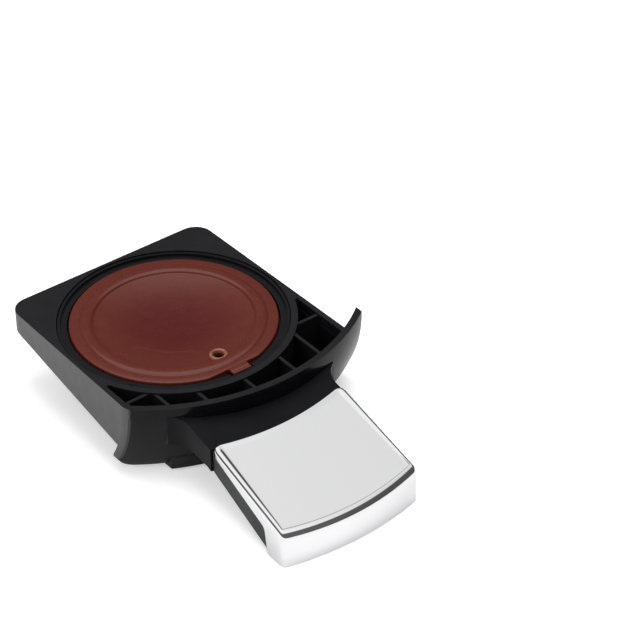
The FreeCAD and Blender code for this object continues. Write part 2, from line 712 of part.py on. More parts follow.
def makeMesh():
    body = newBody("filter_mesh")
    plate = sketchOn(body, "MeshPlan", "XY", meshLow)
    circle(plate, 0, 0, z.meshRadius)
    pad(body, "Mesh", plate, z.meshThick)
    for i, (share, count) in enumerate(((0.2, 6), (0.4, 12), (0.6, 18), (0.8, 24))):
        hole = sketchOn(body, "MeshHole%dPlan" % i, "XY", meshLow + z.meshThick)
        circle(hole, z.meshRadius * share, 0, z.meshHole)
        around(body, "MeshHoles%d" % i, cut(body, "MeshHole%d" % i, hole, z.meshThick * 2), count)
    ring = newBody("mesh_ring")
    low = meshLow + z.meshThick
    turn(ring, "MeshRing", [
        (z.meshRadius - z.meshRingWide, low), (z.meshRadius, low),
        (z.meshRadius + cupSlope * z.meshRingHigh, low + z.meshRingHigh),
        (z.meshRadius - z.meshRingWide, low + z.meshRingHigh),
    ])
    return [body, ring]


def makeLid():
    body = newBody("pod_lid")
    top = z.lidTop
    low = top - z.lidFlange
    dishTop = top - z.dishEdge
    dishLow = dishTop - z.dishDepth
    slant = z.dishRadius - z.dishFlat
    bend = (slant * slant + z.dishDepth * z.dishDepth) / (z.dishDepth * 2)
    sealRoot = z.plugOut - z.sealDeep
    turn(body, "Lid", [
        (z.dishFlat, dishLow, bend, 1), (z.dishRadius, dishTop), (z.lidRingIn, top + z.lidRingHigh),
        (z.lidRingOut - z.lidRingHigh, top + z.lidRingHigh), (z.lidRingOut, top), (z.podRadius, top),
        (z.podRadius, low), (z.plugOut, low), (z.plugOut, z.sealLow + z.sealHigh),
        (sealRoot, z.sealLow + z.sealHigh), (sealRoot, z.sealLow), (z.plugOut, z.sealLow),
        (z.plugOut, z.plugLow), (z.plugIn, z.plugLow), (z.plugIn, dishTop - z.dishThick - 0.3),
        (z.dishRadius, dishTop - z.dishThick, bend, -1), (z.dishFlat, dishLow - z.dishThick),
    ])
    middle = sketchOn(body, "DishMiddlePlan", "XY", dishLow)
    circle(middle, 0, 0, z.dishFlat)
    pad(body, "DishMiddle", middle, z.dishThick, flip=True)
    trimChord(body, "LidChord", top + 1.0, z.lidFlange + 1.5)
    boss = sketchOn(body, "NeedleBossPlan", "XY", top + z.bossRise)
    circle(boss, 0, z.needleY, z.bossRing)
    pad(body, "NeedleBoss", boss, z.bossRise + z.dishThick, flip=True)
    bore = sketchOn(body, "NeedleBorePlan", "XY", top + 1.0)
    circle(bore, 0, z.needleY, z.needleRadius)
    cut(body, "NeedleBore", bore, z.lidFlange * 4)

    seal = newBody("lid_seal")
    proud = z.plugOut + z.sealProud
    turn(seal, "Seal", [
        (sealRoot, z.sealLow), (proud - 0.2, z.sealLow), (proud, z.sealLow + 0.2),
        (proud, z.sealLow + z.sealHigh - 0.2), (proud - 0.2, z.sealLow + z.sealHigh),
        (sealRoot, z.sealLow + z.sealHigh),
    ])

    screen = newBody("shower_screen")
    plate = sketchOn(screen, "ScreenPlan", "XY", z.screenLow)
    circle(plate, 0, 0, z.plugIn - z.gap / 2)
    pad(screen, "Screen", plate, z.screenThick)
    for i, (share, count) in enumerate(((0.22, 6), (0.44, 12), (0.66, 18))):
        hole = sketchOn(screen, "ScreenHole%dPlan" % i, "XY", z.screenLow + z.screenThick)
        circle(hole, z.plugIn * share, 0, z.screenHole)
        first = cut(screen, "ScreenHole%d" % i, hole, z.screenThick * 2)
        around(screen, "ScreenHoles%d" % i, first, count)
    return [body, seal, screen]


def makeStrap():
    """Strap moulded to the lid's edge, out over the hinge line, with a bead on that line."""
    body = newBody("hinge_strap")
    strap = sketchOn(body, "StrapSide", "YZ")
    high = z.strapLow + z.strapThick
    outline(strap, [
        (-z.chordY, z.strapLow), (-z.chordY, high), (-z.strapOut, high), (-z.strapOut, z.strapLow),
    ])
    pad(body, "Strap", strap, z.strapHalf * 2, both=True)
    bead = sketchOn(body, "BeadSide", "YZ")
    circle(bead, z.strapThick + z.beadRadius - z.strapOut, z.strapLow + z.strapThick / 2, z.beadRadius)
    pad(body, "Bead", bead, z.strapHalf * 2, both=True)
    body.setExpression(".Placement.Base.x", "Sizes.strapX")
    return body


def check(item):
    if any(word in item.State for word in ("Invalid", "Error")):
        raise ValueError("failed feature: " + item.Label)


def main():
    parts = [makeFrame(), makeCradle()] + makeHandle() + [makeCup()] + makeMesh() + makeLid() + [makeStrap()]
    doc.recompute()
    for item in doc.Objects:
        check(item)
    os.makedirs("parts", exist_ok=True)
    for item in parts:
        shape = item.Shape
        if shape.isNull() or not shape.isValid():
            raise ValueError("bad shape: " + item.Label)
        box = shape.BoundBox
        print("%-14s solids %d volume %9.1f  x %6.1f %6.1f  y %6.1f %6.1f  z %6.1f %6.1f" % (
            item.Label, len(shape.Solids), shape.Volume, box.XMin, box.XMax, box.YMin, box.YMax,
            box.ZMin, box.ZMax), flush=True)
    for item in parts:
        item.Shape.exportStep("parts/%s.step" % item.Label)


main()
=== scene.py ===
import math

import bmesh
import bpy
from mathutils import Matrix, Vector


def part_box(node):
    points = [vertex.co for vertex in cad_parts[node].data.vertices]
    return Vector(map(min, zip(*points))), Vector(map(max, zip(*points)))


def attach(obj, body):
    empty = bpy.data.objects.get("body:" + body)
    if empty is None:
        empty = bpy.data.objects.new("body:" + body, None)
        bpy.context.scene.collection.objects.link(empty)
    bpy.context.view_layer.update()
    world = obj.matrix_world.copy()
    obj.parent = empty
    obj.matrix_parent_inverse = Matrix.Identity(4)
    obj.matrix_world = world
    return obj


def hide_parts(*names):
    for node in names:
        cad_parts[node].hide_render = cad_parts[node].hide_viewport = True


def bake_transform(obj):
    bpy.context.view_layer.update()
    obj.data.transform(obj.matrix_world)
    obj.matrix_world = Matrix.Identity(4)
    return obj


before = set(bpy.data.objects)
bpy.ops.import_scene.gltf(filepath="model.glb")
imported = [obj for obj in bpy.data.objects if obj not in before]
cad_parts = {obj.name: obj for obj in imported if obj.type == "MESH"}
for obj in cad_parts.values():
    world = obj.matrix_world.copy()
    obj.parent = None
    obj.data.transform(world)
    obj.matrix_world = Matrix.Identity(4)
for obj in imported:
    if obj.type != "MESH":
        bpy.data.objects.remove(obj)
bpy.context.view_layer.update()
mm = 0.001


# small helpers

def makeObject(name, points, faces):
    mesh = bpy.data.meshes.new(name)
    mesh.from_pydata([Vector(p) * mm for p in points], [], faces)
    mesh.validate()
    obj = bpy.data.objects.new(name, mesh)
    bpy.context.scene.collection.objects.link(obj)
    return obj


def bake(obj):
    # the modifiers become the mesh itself
    graph = bpy.context.evaluated_depsgraph_get()
    made = bpy.data.meshes.new_from_object(obj.evaluated_get(graph))
    obj.modifiers.clear()
    obj.data = made
    return obj


def smoothSides(obj, degrees=32):
    for face in obj.data.polygons:
        face.use_smooth = True
    obj.data.set_sharp_from_angle(angle=math.radians(degrees))


def softEdges(obj, width, steps=2, degrees=32):
    bevel = obj.modifiers.new("softEdges", "BEVEL")
    bevel.width = width * mm
    bevel.segments = steps
    bevel.limit_method = "ANGLE"
    bevel.angle_limit = math.radians(degrees)
    bevel.miter_outer = "MITER_ARC"
    bevel.harden_normals = True
    bevel.use_clamp_overlap = True


def finishPiece(obj, body, slotName, material, *nodes):
    if material:
        obj.data.materials.clear()
        obj.data.materials.append(material)
    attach(obj, body)
    if nodes:
        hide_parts(*nodes)
    return obj


def copyOfNode(node, name, edge, steps=2):
    # the CAD solid as one clean mesh: welded, flat faces joined, edges softened
    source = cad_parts[node]
    mesh = source.data.copy()
    mesh.name = name
    work = bmesh.new()
    work.from_mesh(mesh)
    bmesh.ops.remove_doubles(work, verts=work.verts, dist=0.0015 * mm)
    bmesh.ops.dissolve_limit(work, angle_limit=math.radians(0.6), verts=work.verts, edges=work.edges)
    work.to_mesh(mesh)
    work.free()
    if "custom_normal" in mesh.attributes:
        mesh.attributes.remove(mesh.attributes["custom_normal"])
    obj = bpy.data.objects.new(name, mesh)
    bpy.context.scene.collection.objects.link(obj)
    smoothSides(obj)
    if edge:
        softEdges(obj, edge, steps)
    return obj


def lathe(name, profile, around=144, centre=(0, 0), closed=False):
    # profile is (radius, height) from top centre round to bottom centre; radius 0 becomes a pole
    points, faces, rows = [], [], []
    for radius, height in profile:
        if radius == 0:
            rows.append([len(points)] * around)
            points.append((centre[0], centre[1], height))
            continue
        rows.append(list(range(len(points), len(points) + around)))
        for k in range(around):
            turn = 2 * math.pi * k / around
            points.append((centre[0] + radius * math.cos(turn), centre[1] + radius * math.sin(turn), height))
    pairs = list(zip(rows, rows[1:])) + ([(rows[-1], rows[0])] if closed else [])
    for upper, lower in pairs:
        for k in range(around):
            after = (k + 1) % around
            corners = [upper[k], lower[k], lower[after], upper[after]]
            ring = list(dict.fromkeys(corners))
            if len(ring) > 2:
                faces.append(ring)
    return makeObject(name, points, faces)


def smoothStep(value):
    value = min(1.0, max(0.0, value))
    return value * value * (3 - 2 * value)


def outwards(obj):
    work = bmesh.new()
    work.from_mesh(obj.data)
    bmesh.ops.remove_doubles(work, verts=work.verts, dist=0.001 * mm)
    bmesh.ops.recalc_face_normals(work, faces=work.faces)
    work.to_mesh(obj.data)
    work.free()
    return obj


# materials

class Shader:
    # a node tree with short calls for the nodes used here

    def __init__(self, name):
        self.material = bpy.data.materials.new(name)
        self.material.use_nodes = True
        self.tree = self.material.node_tree
        self.main = self.tree.nodes["Principled BSDF"]
        self.where = self.tree.nodes.new("ShaderNodeTexCoord").outputs["Object"]

    def set(self, **values):
        names = {"color": "Base Color", "metal": "Metallic", "level": "Specular IOR Level",
                 "coat": "Coat Weight", "coatRough": "Coat Roughness",
                 "under": "Subsurface Weight", "depth": "Subsurface Scale"}
        for key, value in values.items():
            self.main.inputs[names[key]].default_value = (*value, 1) if key == "color" else value
        return self

    def noise(self, scale, detail=3, stretch=None):
        node = self.tree.nodes.new("ShaderNodeTexNoise")
        node.inputs["Scale"].default_value = scale
        node.inputs["Detail"].default_value = detail
        source = self.where
        if stretch:
            mapping = self.tree.nodes.new("ShaderNodeMapping")
            mapping.inputs["Scale"].default_value = stretch
            self.tree.links.new(source, mapping.inputs["Vector"])
            source = mapping.outputs["Vector"]
        self.tree.links.new(source, node.inputs["Vector"])
        return node.outputs["Fac"]

    def between(self, value, low, high):
        node = self.tree.nodes.new("ShaderNodeMapRange")
        node.inputs["From Min"].default_value = 0.3
        node.inputs["From Max"].default_value = 0.7
        node.inputs["To Min"].default_value = low
        node.inputs["To Max"].default_value = high
        self.tree.links.new(value, node.inputs["Value"])
        return node.outputs["Result"]

    def tint(self, value, dark, light, fromLow=0.3, fromHigh=0.7):
        ramp = self.tree.nodes.new("ShaderNodeValToRGB")
        ramp.color_ramp.elements[0].position = fromLow
        ramp.color_ramp.elements[0].color = (*dark, 1)
        ramp.color_ramp.elements[1].position = fromHigh
        ramp.color_ramp.elements[1].color = (*light, 1)
        self.tree.links.new(value, ramp.inputs["Fac"])
        return ramp.outputs["Color"]

    def link(self, value, socket):
        self.tree.links.new(value, self.main.inputs[socket])

    def bump(self, value, strength, distance):
        node = self.tree.nodes.new("ShaderNodeBump")
        node.inputs["Strength"].default_value = strength
        node.inputs["Distance"].default_value = distance
        self.tree.links.new(value, node.inputs["Height"])
        self.tree.links.new(node.outputs["Normal"], self.main.inputs["Normal"])


def mouldedBlack(name, rough, grain, color, gloss):
    # black plastic: fine tool grain, faint cloudiness in the gloss and a slightly greyer skin here and there
    shader = Shader(name).set(level=gloss)
    shader.link(shader.tint(shader.noise(120, 4), color, [c * 1.4 for c in color]), "Base Color")
    shader.link(shader.between(shader.noise(260, 4), rough * 0.9, rough * 1.1), "Roughness")
    shader.bump(shader.noise(5200, 2), grain, 0.00004)
    return shader.material


def platedChrome():
    # bright plating: long soft ripples in the moulding under it and a few dull smears
    shader = Shader("platedChrome").set(color=(0.90, 0.90, 0.91), metal=1.0)
    shader.link(shader.between(shader.noise(70, 5, (1, 0.35, 1)), 0.025, 0.075), "Roughness")
    shader.bump(shader.noise(60, 1), 0.05, 0.00025)
    return shader.material


podTone = {"middleFrom": 0.006, "middleTo": 0.022, "mottle": 0.25,
           "middle": (0.088, 0.0095, 0.0085), "flange": (0.112, 0.0200, 0.0120)}


def podPlastic():
    # redder and deeper in the middle of the dish, browner out on the flange
    shader = Shader("podPlastic").set(level=0.45, coat=0.3, coatRough=0.08)
    split = shader.tree.nodes.new("ShaderNodeSeparateXYZ")
    shader.tree.links.new(shader.where, split.inputs["Vector"])
    flat = shader.tree.nodes.new("ShaderNodeCombineXYZ")
    for axis in "XY":
        shader.tree.links.new(split.outputs[axis], flat.inputs[axis])
    reach = shader.tree.nodes.new("ShaderNodeVectorMath")
    reach.operation = "LENGTH"
    shader.tree.links.new(flat.outputs["Vector"], reach.inputs[0])
    zone = shader.tree.nodes.new("ShaderNodeMapRange")
    zone.interpolation_type = "SMOOTHSTEP"
    zone.inputs["From Min"].default_value = podTone["middleFrom"]
    zone.inputs["From Max"].default_value = podTone["middleTo"]
    shader.tree.links.new(reach.outputs["Value"], zone.inputs["Value"])
    mottled = shader.tree.nodes.new("ShaderNodeMath")
    mottled.operation = "MULTIPLY_ADD"
    shader.tree.links.new(shader.noise(60, 3), mottled.inputs[0])
    mottled.inputs[1].default_value = podTone["mottle"]
    shader.tree.links.new(zone.outputs["Result"], mottled.inputs[2])
    tone = shader.tint(mottled.outputs[0], podTone["middle"], podTone["flange"], 0.1, 1.1)
    shader.link(tone, "Base Color")
    shader.link(shader.between(shader.noise(300, 3), 0.2, 0.3), "Roughness")
    shader.bump(shader.noise(900, 2), 0.03, 0.0001)
    return shader.material


def needleRim():
    shader = Shader("needleRim").set(level=0.6)
    shader.link(shader.tint(shader.noise(900, 2), (0.20, 0.065, 0.04), (0.30, 0.115, 0.07)), "Base Color")
    shader.link(shader.between(shader.noise(700, 2), 0.25, 0.4), "Roughness")
    return shader.material


def steel(name, color, rough):
    shader = Shader(name).set(metal=1.0)
    shader.link(shader.tint(shader.noise(800, 3), [c * 0.85 for c in color], color), "Base Color")
    shader.link(shader.between(shader.noise(1500, 3, (1, 1, 0.1)), rough * 0.8, rough * 1.25), "Roughness")
    return shader.material


def silicone():
    shader = Shader("silicone").set(level=0.4, under=0.3, depth=0.001)
    shader.link(shader.tint(shader.noise(500, 2), (0.50, 0.45, 0.38), (0.60, 0.55, 0.47)), "Base Color")
    shader.link(shader.between(shader.noise(900, 2), 0.35, 0.5), "Roughness")
    return shader.material


floorLook = {"rough": 0.7, "glow": 0.45}


def paleFloor():
    shader = Shader("paleFloor").set(level=0.2)
    shader.link(shader.tint(shader.noise(3, 2), (0.86, 0.86, 0.86), (0.88, 0.88, 0.88)), "Base Color")
    shader.main.inputs["Roughness"].default_value = floorLook["rough"]
    # looked at directly it glows like a light table, so the shadow stays faint; reflections see it plain
    shader.main.inputs["Emission Color"].default_value = (1, 1, 1, 1)
    direct = shader.tree.nodes.new("ShaderNodeLightPath").outputs["Is Camera Ray"]
    glow = shader.tree.nodes.new("ShaderNodeMath")
    glow.operation = "MULTIPLY"
    glow.inputs[1].default_value = floorLook["glow"]
    shader.tree.links.new(direct, glow.inputs[0])
    shader.link(glow.outputs[0], "Emission Strength")
    return shader.material


satinBlack = mouldedBlack("satinBlack", 0.36, 0.22, (0.0055, 0.0055, 0.0065), 0.5)
# the side walls' copy of the black plastic, greyer and glossier than the deck: painted light, as if the
# walls caught a lamp from the left
wallLitBlack = mouldedBlack("wallLitBlack", 0.4, 0.25, (0.016, 0.016, 0.017), 0.95)
# the front panel's copy of the black plastic, darker and with a weak reflection: painted shade standing in
# for the dark surroundings the glossy panel would mirror
polishedShadedBlack = mouldedBlack("polishedShadedBlack", 0.2, 0.04, (0.004, 0.004, 0.005), 0.14)
# the neck's copy of the black plastic, darker and barely reflecting: painted shade under the front panel
neckShadedBlack = mouldedBlack("neckShadedBlack", 0.38, 0.12, (0.004, 0.004, 0.005), 0.12)
insertBlack = mouldedBlack("insertBlack", 0.30, 0.15, (0.004, 0.004, 0.005), 0.4)
stripBlack = mouldedBlack("stripBlack", 0.42, 0.3, (0.009, 0.009, 0.010), 0.45)
chrome = platedChrome()
redBrown = podPlastic()
paleRim = needleRim()
screwSteel = steel("screwSteel", (0.46, 0.46, 0.48), 0.3)
meshSteel = steel("meshSteel", (0.60, 0.60, 0.61), 0.25)
rubber = silicone()
print("materials made")


# camera

view = {"azimuth": -37.15, "elevation": 36.12, "roll": -1.0, "lens": 165.8,
        "place": (-0.3379, -0.5074, 0.4670)}


def makeCamera():
    a, e, roll = (math.radians(view[k]) for k in ("azimuth", "elevation", "roll"))
    back = Vector((math.sin(a) * math.cos(e), -math.cos(a) * math.cos(e), math.sin(e)))
    side = Vector((0, 0, 1)).cross(back).normalized()
    up = back.cross(side)
    turned = Matrix((
        side * math.cos(roll) + up * math.sin(roll), up * math.cos(roll) - side * math.sin(roll), back,
    )).transposed()
    data = bpy.data.cameras.new("camera")
    data.sensor_width = 36
    data.lens = view["lens"]
    data.clip_start = 0.01
    camera = bpy.data.objects.new("camera", data)
    camera.matrix_world = Matrix.Translation(view["place"]) @ turned.to_4x4()
    bpy.context.scene.collection.objects.link(camera)
    bpy.context.scene.camera = camera


makeCamera()


# light and floor

studio = {"floorHalf": 3.0, "ceiling": 0.95, "wall": 0.11, "ceilingFrom": 0.66, "ceilingFull": 0.76,
          "fadeFrom": 0.30, "fadeTo": 0.62, "full": 1.0, "rightShare": 0.72}
softboxes = [
    # name, place, size, power
    ("overhead", (0.10, -0.05, 0.75), (0.55, 0.60), 3.4),
    ("left", (-0.70, 0.10, 0.30), (0.30, 0.50), 2.4),
    ("front", (-0.15, -0.85, 0.45), (0.50, 0.30), 0.9),
]


def makeStudio():
    half = studio["floorHalf"] / mm
    floor = makeObject("floor", [(-half, -half, 0), (half, -half, 0), (half, half, 0), (-half, half, 0)],
                       [(0, 1, 2, 3)])
    floor.data.materials.append(paleFloor())
    for name, place, size, power in softboxes:
        lamp = bpy.data.lights.new(name, "AREA")
        lamp.shape = "RECTANGLE"
        lamp.size, lamp.size_y = size
        lamp.energy = power
        obj = bpy.data.objects.new(name, lamp)
        obj.location = place
        obj.visible_glossy = False
        obj.rotation_euler = (Vector((0, -0.02, 0)) - obj.location).to_track_quat("-Z", "Y").to_euler()
        bpy.context.scene.collection.objects.link(obj)
    world = bpy.data.worlds.new("studio")
    world.use_nodes = True
    # a bright ceiling over darker walls: the level follows the height of the direction looked in
    nodes, links = world.node_tree.nodes, world.node_tree.links
    way = nodes.new("ShaderNodeTexCoord").outputs["Generated"]
    split = nodes.new("ShaderNodeSeparateXYZ")
    links.new(way, split.inputs["Vector"])
    level = nodes.new("ShaderNodeMapRange")
    level.interpolation_type = "SMOOTHSTEP"
    for key, value in (("From Min", "ceilingFrom"), ("From Max", "ceilingFull"), ("To Min", "wall"),
                       ("To Max", "ceiling")):
        level.inputs[key].default_value = studio[value]
    links.new(split.outputs["Z"], level.inputs["Value"])
    fade = nodes.new("ShaderNodeMapRange")
    for key, value in (("From Min", "fadeFrom"), ("From Max", "fadeTo"), ("To Min", "full"),
                       ("To Max", "rightShare")):
        fade.inputs[key].default_value = studio[value]
    links.new(split.outputs["X"], fade.inputs["Value"])
    both = nodes.new("ShaderNodeMath")
    both.operation = "MULTIPLY"
    links.new(level.outputs["Result"], both.inputs[0])
    links.new(fade.outputs["Result"], both.inputs[1])
    links.new(both.outputs[0], nodes["Background"].inputs["Color"])
    bpy.context.scene.world = world
    bpy.context.scene.view_settings.view_transform = "Standard"


makeStudio()
print("camera, light and floor made")


# drawer frame: deck, walls, cells, front panel, neck and root in one moulding

frameLook = {"edge": 0.22, "panelCentre": (6.2, 17.2), "panelRadius": 56.2, "panelTop": 23.9, "bend": 35.0}


def makeFrame():
    obj = copyOfNode("drawer_frame", "frameMoulding", frameLook["edge"])
    obj.data.materials.clear()
    obj.data.materials.append(satinBlack)
    obj.data.materials.append(polishedShadedBlack)
    obj.data.materials.append(neckShadedBlack)
    obj.data.materials.append(wallLitBlack)
    cx, cy = frameLook["panelCentre"]
    for face in obj.data.polygons:
        x, y, high = face.center / mm
        drop = frameLook["panelTop"] - high
        curl = frameLook["bend"] - math.sqrt(max(frameLook["bend"] ** 2 - drop ** 2, 0))
        away = math.hypot(x - cx, y - curl - cy)
        # faces on the front panel's curve take the darker, weakly reflecting copy of the plastic: painted
        # shade
        if abs(away - frameLook["panelRadius"]) < 0.25 and y < -15:
            face.material_index = 1
        # faces of the neck below the panel take the darker, barely reflecting copy of the plastic: painted
        # shade
        elif away > frameLook["panelRadius"] - 0.4 and abs(x) < 24 and y < -30:
            face.material_index = 2
        # upright side faces take the greyer, glossier wall copy of the plastic: painted light on the side
        # walls
        elif abs(face.normal.x) > 0.9 and abs(x) > 30.4 and y > -26:
            face.material_index = 3
    return finishPiece(obj, "drawer", "black_moulding", None, "drawer_frame")


makeFrame()


# plated handle cover: an outline in plan, walls, rounded upper edges and a slightly dished top

cover = {
    "half": 21.0, "backHalf": 20.3, "back": -46.2, "front": -76.3, "bend": 80.0,
    "backCorner": 3.0, "frontCorner": 1.3, "sideRound": 1.1, "frontRound": 1.9, "backRound": 0.7,
    "crown": 19.1, "crownAt": -44.0, "crownSlope": 0.30, "dish": 0.24, "dishBand": 2.2,
    "seam": 17.5, "seamAt": -43.2, "seamSlope": 0.4265, "stripEnd": -66.6, "stripRound": 1.6,
    "low": 11.5, "lowAt": -42.0, "lowSlope": 0.4417, "wall": 1.2, "across": 88, "along": 64, "roundSteps": 8,
}


def crownAt(y):
    return cover["crown"] + (y - cover["crownAt"]) * cover["crownSlope"]


def seamAt(y):
    return cover["seam"] + (y - cover["seamAt"]) * cover["seamSlope"]


def undersideAt(y):
    return max(cover["low"] + (y - cover["lowAt"]) * cover["lowSlope"], 0.0)


def skirtAt(y):
    # lower edge of the cover's wall: the seam over the side strip, then the skirt round the front
    end, turn = cover["stripEnd"], cover["stripRound"]
    if y > end + turn:
        return seamAt(y)
    share = min(1.0, max(0.0, (end + turn - y) / turn))
    low = undersideAt(y)
    return low + (seamAt(y) - low) * math.sqrt(max(0.0, 1 - share ** 3)) if share < 1 else low


def coverPlan(sideIn, frontIn, backIn):
    # closed ring of points, four sides from corner middle to corner middle, anticlockwise from the back left
    bend = cover["bend"]
    half, tail = cover["half"] - sideIn, cover["backHalf"] - sideIn
    nose = bend - frontIn

    def backY(x):
        return cover["back"] - backIn + bend - math.sqrt(bend ** 2 - x ** 2)

    def frontY(x):
        return cover["front"] + frontIn + nose - math.sqrt(nose ** 2 - x ** 2)

    corners = [Vector((-tail, backY(tail))), Vector((-half, frontY(half))), Vector((half, frontY(half))),
               Vector((tail, backY(tail)))]
    trims = [max(cover["backCorner"] - max(sideIn, backIn), 0.25), max(cover["frontCorner"] - frontIn, 0.25)]
    trims = [trims[0], trims[1], trims[1], trims[0]]
    counts = [cover["along"], cover["across"], cover["along"], cover["across"]]

    def sidePoint(k, share):
        a, b = corners[k], corners[(k + 1) % 4]
        if k == 1:
            x = a.x + (b.x - a.x) * share
            return Vector((x, frontY(x)))
        if k == 3:
            x = a.x + (b.x - a.x) * share
            return Vector((x, backY(x)))
        return a.lerp(b, share)

    ring = []
    for k in range(4):
        a, b = corners[k], corners[(k + 1) % 4]
        span = (b - a).length
        first, last = trims[k] / span, 1 - trims[(k + 1) % 4] / span
        before, after = (a - corners[k - 1]).length, (corners[(k + 2) % 4] - b).length
        enter = (sidePoint(k - 1, 1 - trims[k] / before), a, sidePoint(k, first))
        leave = (sidePoint(k, last), b, sidePoint((k + 1) % 4, trims[(k + 1) % 4] / after))
        count = counts[k]
        arc = 5
        for i in range(count):
            if i < arc:
                t = 0.5 + 0.5 * i / arc
                p = enter
            elif i > count - arc:
                t = 0.5 * (i - (count - arc)) / arc
                p = leave
            else:
                ring.append(sidePoint(k, first + (last - first) * (i - arc) / (count - 2 * arc)))
                continue
            ring.append(p[0] * (1 - t) ** 2 + p[1] * 2 * t * (1 - t) + p[2] * t ** 2)
    return ring


def coverRound(i):
    # upper edge radius at a point of the ring, easing from one side's to the next
    along, across = cover["along"], cover["across"]
    value = {"back": cover["backRound"], "side": cover["sideRound"], "front": cover["frontRound"]}
    ease = 6.0
    if i <= along:
        near = min(i, along - i)
        other = value["back"] if i < along / 2 else value["front"]
        share = min(1.0, near / ease)
        return other + (value["side"] - other) * share * share * (3 - 2 * share)
    if i <= along + across:
        return value["front"]
    if i <= 2 * along + across:
        k = i - along - across
        near = min(k, along - k)
        other = value["front"] if k < along / 2 else value["back"]
        share = min(1.0, near / ease)
        return other + (value["side"] - other) * share * share * (3 - 2 * share)
    return value["back"]


def makeCover():
    along, across = cover["along"], cover["across"]
    outer = coverPlan(0, 0, 0)
    total = len(outer)
    rows = []
    wallSteps = 6
    for step in range(wallSteps):
        row = []
        for i, p in enumerate(outer):
            top = crownAt(p.y) - coverRound(i)
            low = min(skirtAt(p.y), top - 0.3)
            row.append((p.x, p.y, low + (top - low) * step / wallSteps))
        rows.append(row)
    steps = cover["roundSteps"]
    for step in range(steps + 1):
        turn = math.pi / 2 * step / steps
        inShare, upShare = 1 - math.cos(turn), 1 - math.sin(turn)
        ring = coverPlan(*(cover[edge] * inShare for edge in ("sideRound", "frontRound", "backRound")))
        rows.append([(p.x, p.y, crownAt(p.y) - coverRound(i) * upShare) for i, p in enumerate(ring)])
    points = [p for row in rows for p in row]
    faces = []
    for r in range(len(rows) - 1):
        for i in range(total):
            j = (i + 1) % total
            faces.append((r * total + i, r * total + j, (r + 1) * total + j, (r + 1) * total + i))

    # top: a patch of quads between the last ring's four sides
    base = (len(rows) - 1) * total
    edge = rows[-1]

    def ringIndex(i, j):
        # index on the ring for a border cell of the patch; i runs along, j across
        if j == 0:
            return i % total
        if i == along:
            return along + j
        if j == across:
            return along + across + (along - i)
        if i == 0:
            return (2 * along + across + (across - j)) % total
        return None

    grid = {}
    for i in range(along + 1):
        for j in range(across + 1):
            k = ringIndex(i, j)
            if k is not None:
                grid[i, j] = base + k
                continue
            s, t = i / along, j / across
            left, right = Vector(edge[ringIndex(i, 0)]), Vector(edge[ringIndex(i, across)])
            rear, nose = Vector(edge[ringIndex(0, j)]), Vector(edge[ringIndex(along, j)])
            cornerCells = ((0, 0), (along, 0), (0, across), (along, across))
            c = [Vector(edge[ringIndex(a, b)]) for a, b in cornerCells]
            p = left * (1 - t) + right * t + rear * (1 - s) + nose * s - (
                c[0] * (1 - s) * (1 - t) + c[1] * s * (1 - t) + c[2] * (1 - s) * t + c[3] * s * t)
            ends = min(s, 1 - s) * (cover["back"] - cover["front"])
            sides = min(t, 1 - t) * 2 * cover["half"]
            band = cover["dishBand"]
            sink = cover["dish"] * smoothStep(ends / band) * smoothStep(sides / band)
            grid[i, j] = len(points)
            points.append((p.x, p.y, crownAt(p.y) - sink))
    for i in range(along):
        for j in range(across):
            faces.append((grid[i, j], grid[i + 1, j], grid[i + 1, j + 1], grid[i, j + 1]))
    obj = makeObject("handleCover", points, faces)
    outwards(obj)
    for face in obj.data.polygons:
        face.use_smooth = True
    solid = obj.modifiers.new("wall", "SOLIDIFY")
    solid.thickness = cover["wall"] * mm
    solid.offset = -1
    solid.use_even_offset = True
    softEdges(obj, 0.2, 2, 50)
    return finishPiece(obj, "drawer", "plated_cover", chrome, "handle_cover")


makeCover()
print("frame and handle cover made")


# pieces that keep the CAD shape

cadCopies = [
    # CAD node, name, width and steps of the softened edges, body, slot, material
    ("handle_body", "handleShell", 0.3, 3, "drawer", "black_moulding", stripBlack),
    ("pod_cradle", "podCradle", 0.2, 3, "drawer", "black_insert", insertBlack),
    ("pod_cup", "podCup", 0.15, 2, "pod", "pod_plastic", redBrown),
    ("mesh_ring", "meshRing", 0.12, 2, "pod", "pod_plastic", redBrown),
    ("lid_seal", "lidSeal", 0.1, 2, "lid", "seal_rubber", rubber),
    ("shower_screen", "showerScreen", 0.08, 1, "lid", "pod_plastic", redBrown),
]
for node, name, edge, steps, body, slotName, material in cadCopies:
    finishPiece(copyOfNode(node, name, edge, steps), body, slotName, material, node)
print("handle shell, cradle, cup and small pod pieces made")


# pod lid: a turned form whose top carries the ring, the dish, the kidney recess and the needle hole

lid = {
    "radius": 27.0, "chord": 25.9, "top": 23.4, "thick": 1.2, "soft": 0.3,
    "ringOut": 24.3, "ringIn": 20.9, "ringHigh": 0.5,
    "dishRadius": 20.8, "dishDrop": 0.3, "dishDeep": 1.15, "shell": 1.1,
    "plugOut": 22.2, "plugIn": 21.3, "plugLow": 18.5,
    "grooveIn": 21.75, "grooveLow": 20.2, "grooveHigh": 21.2,
    "kidneyDeep": 0.09, "kidneyAt": 15.6, "kidneyHalf": 3.2, "kidneyFrom": 8, "kidneyTo": 82,
    "needleY": -19.5, "needleRadius": 1.5, "bossRadius": 2.4, "bossRise": 0.45, "around": 240,
}


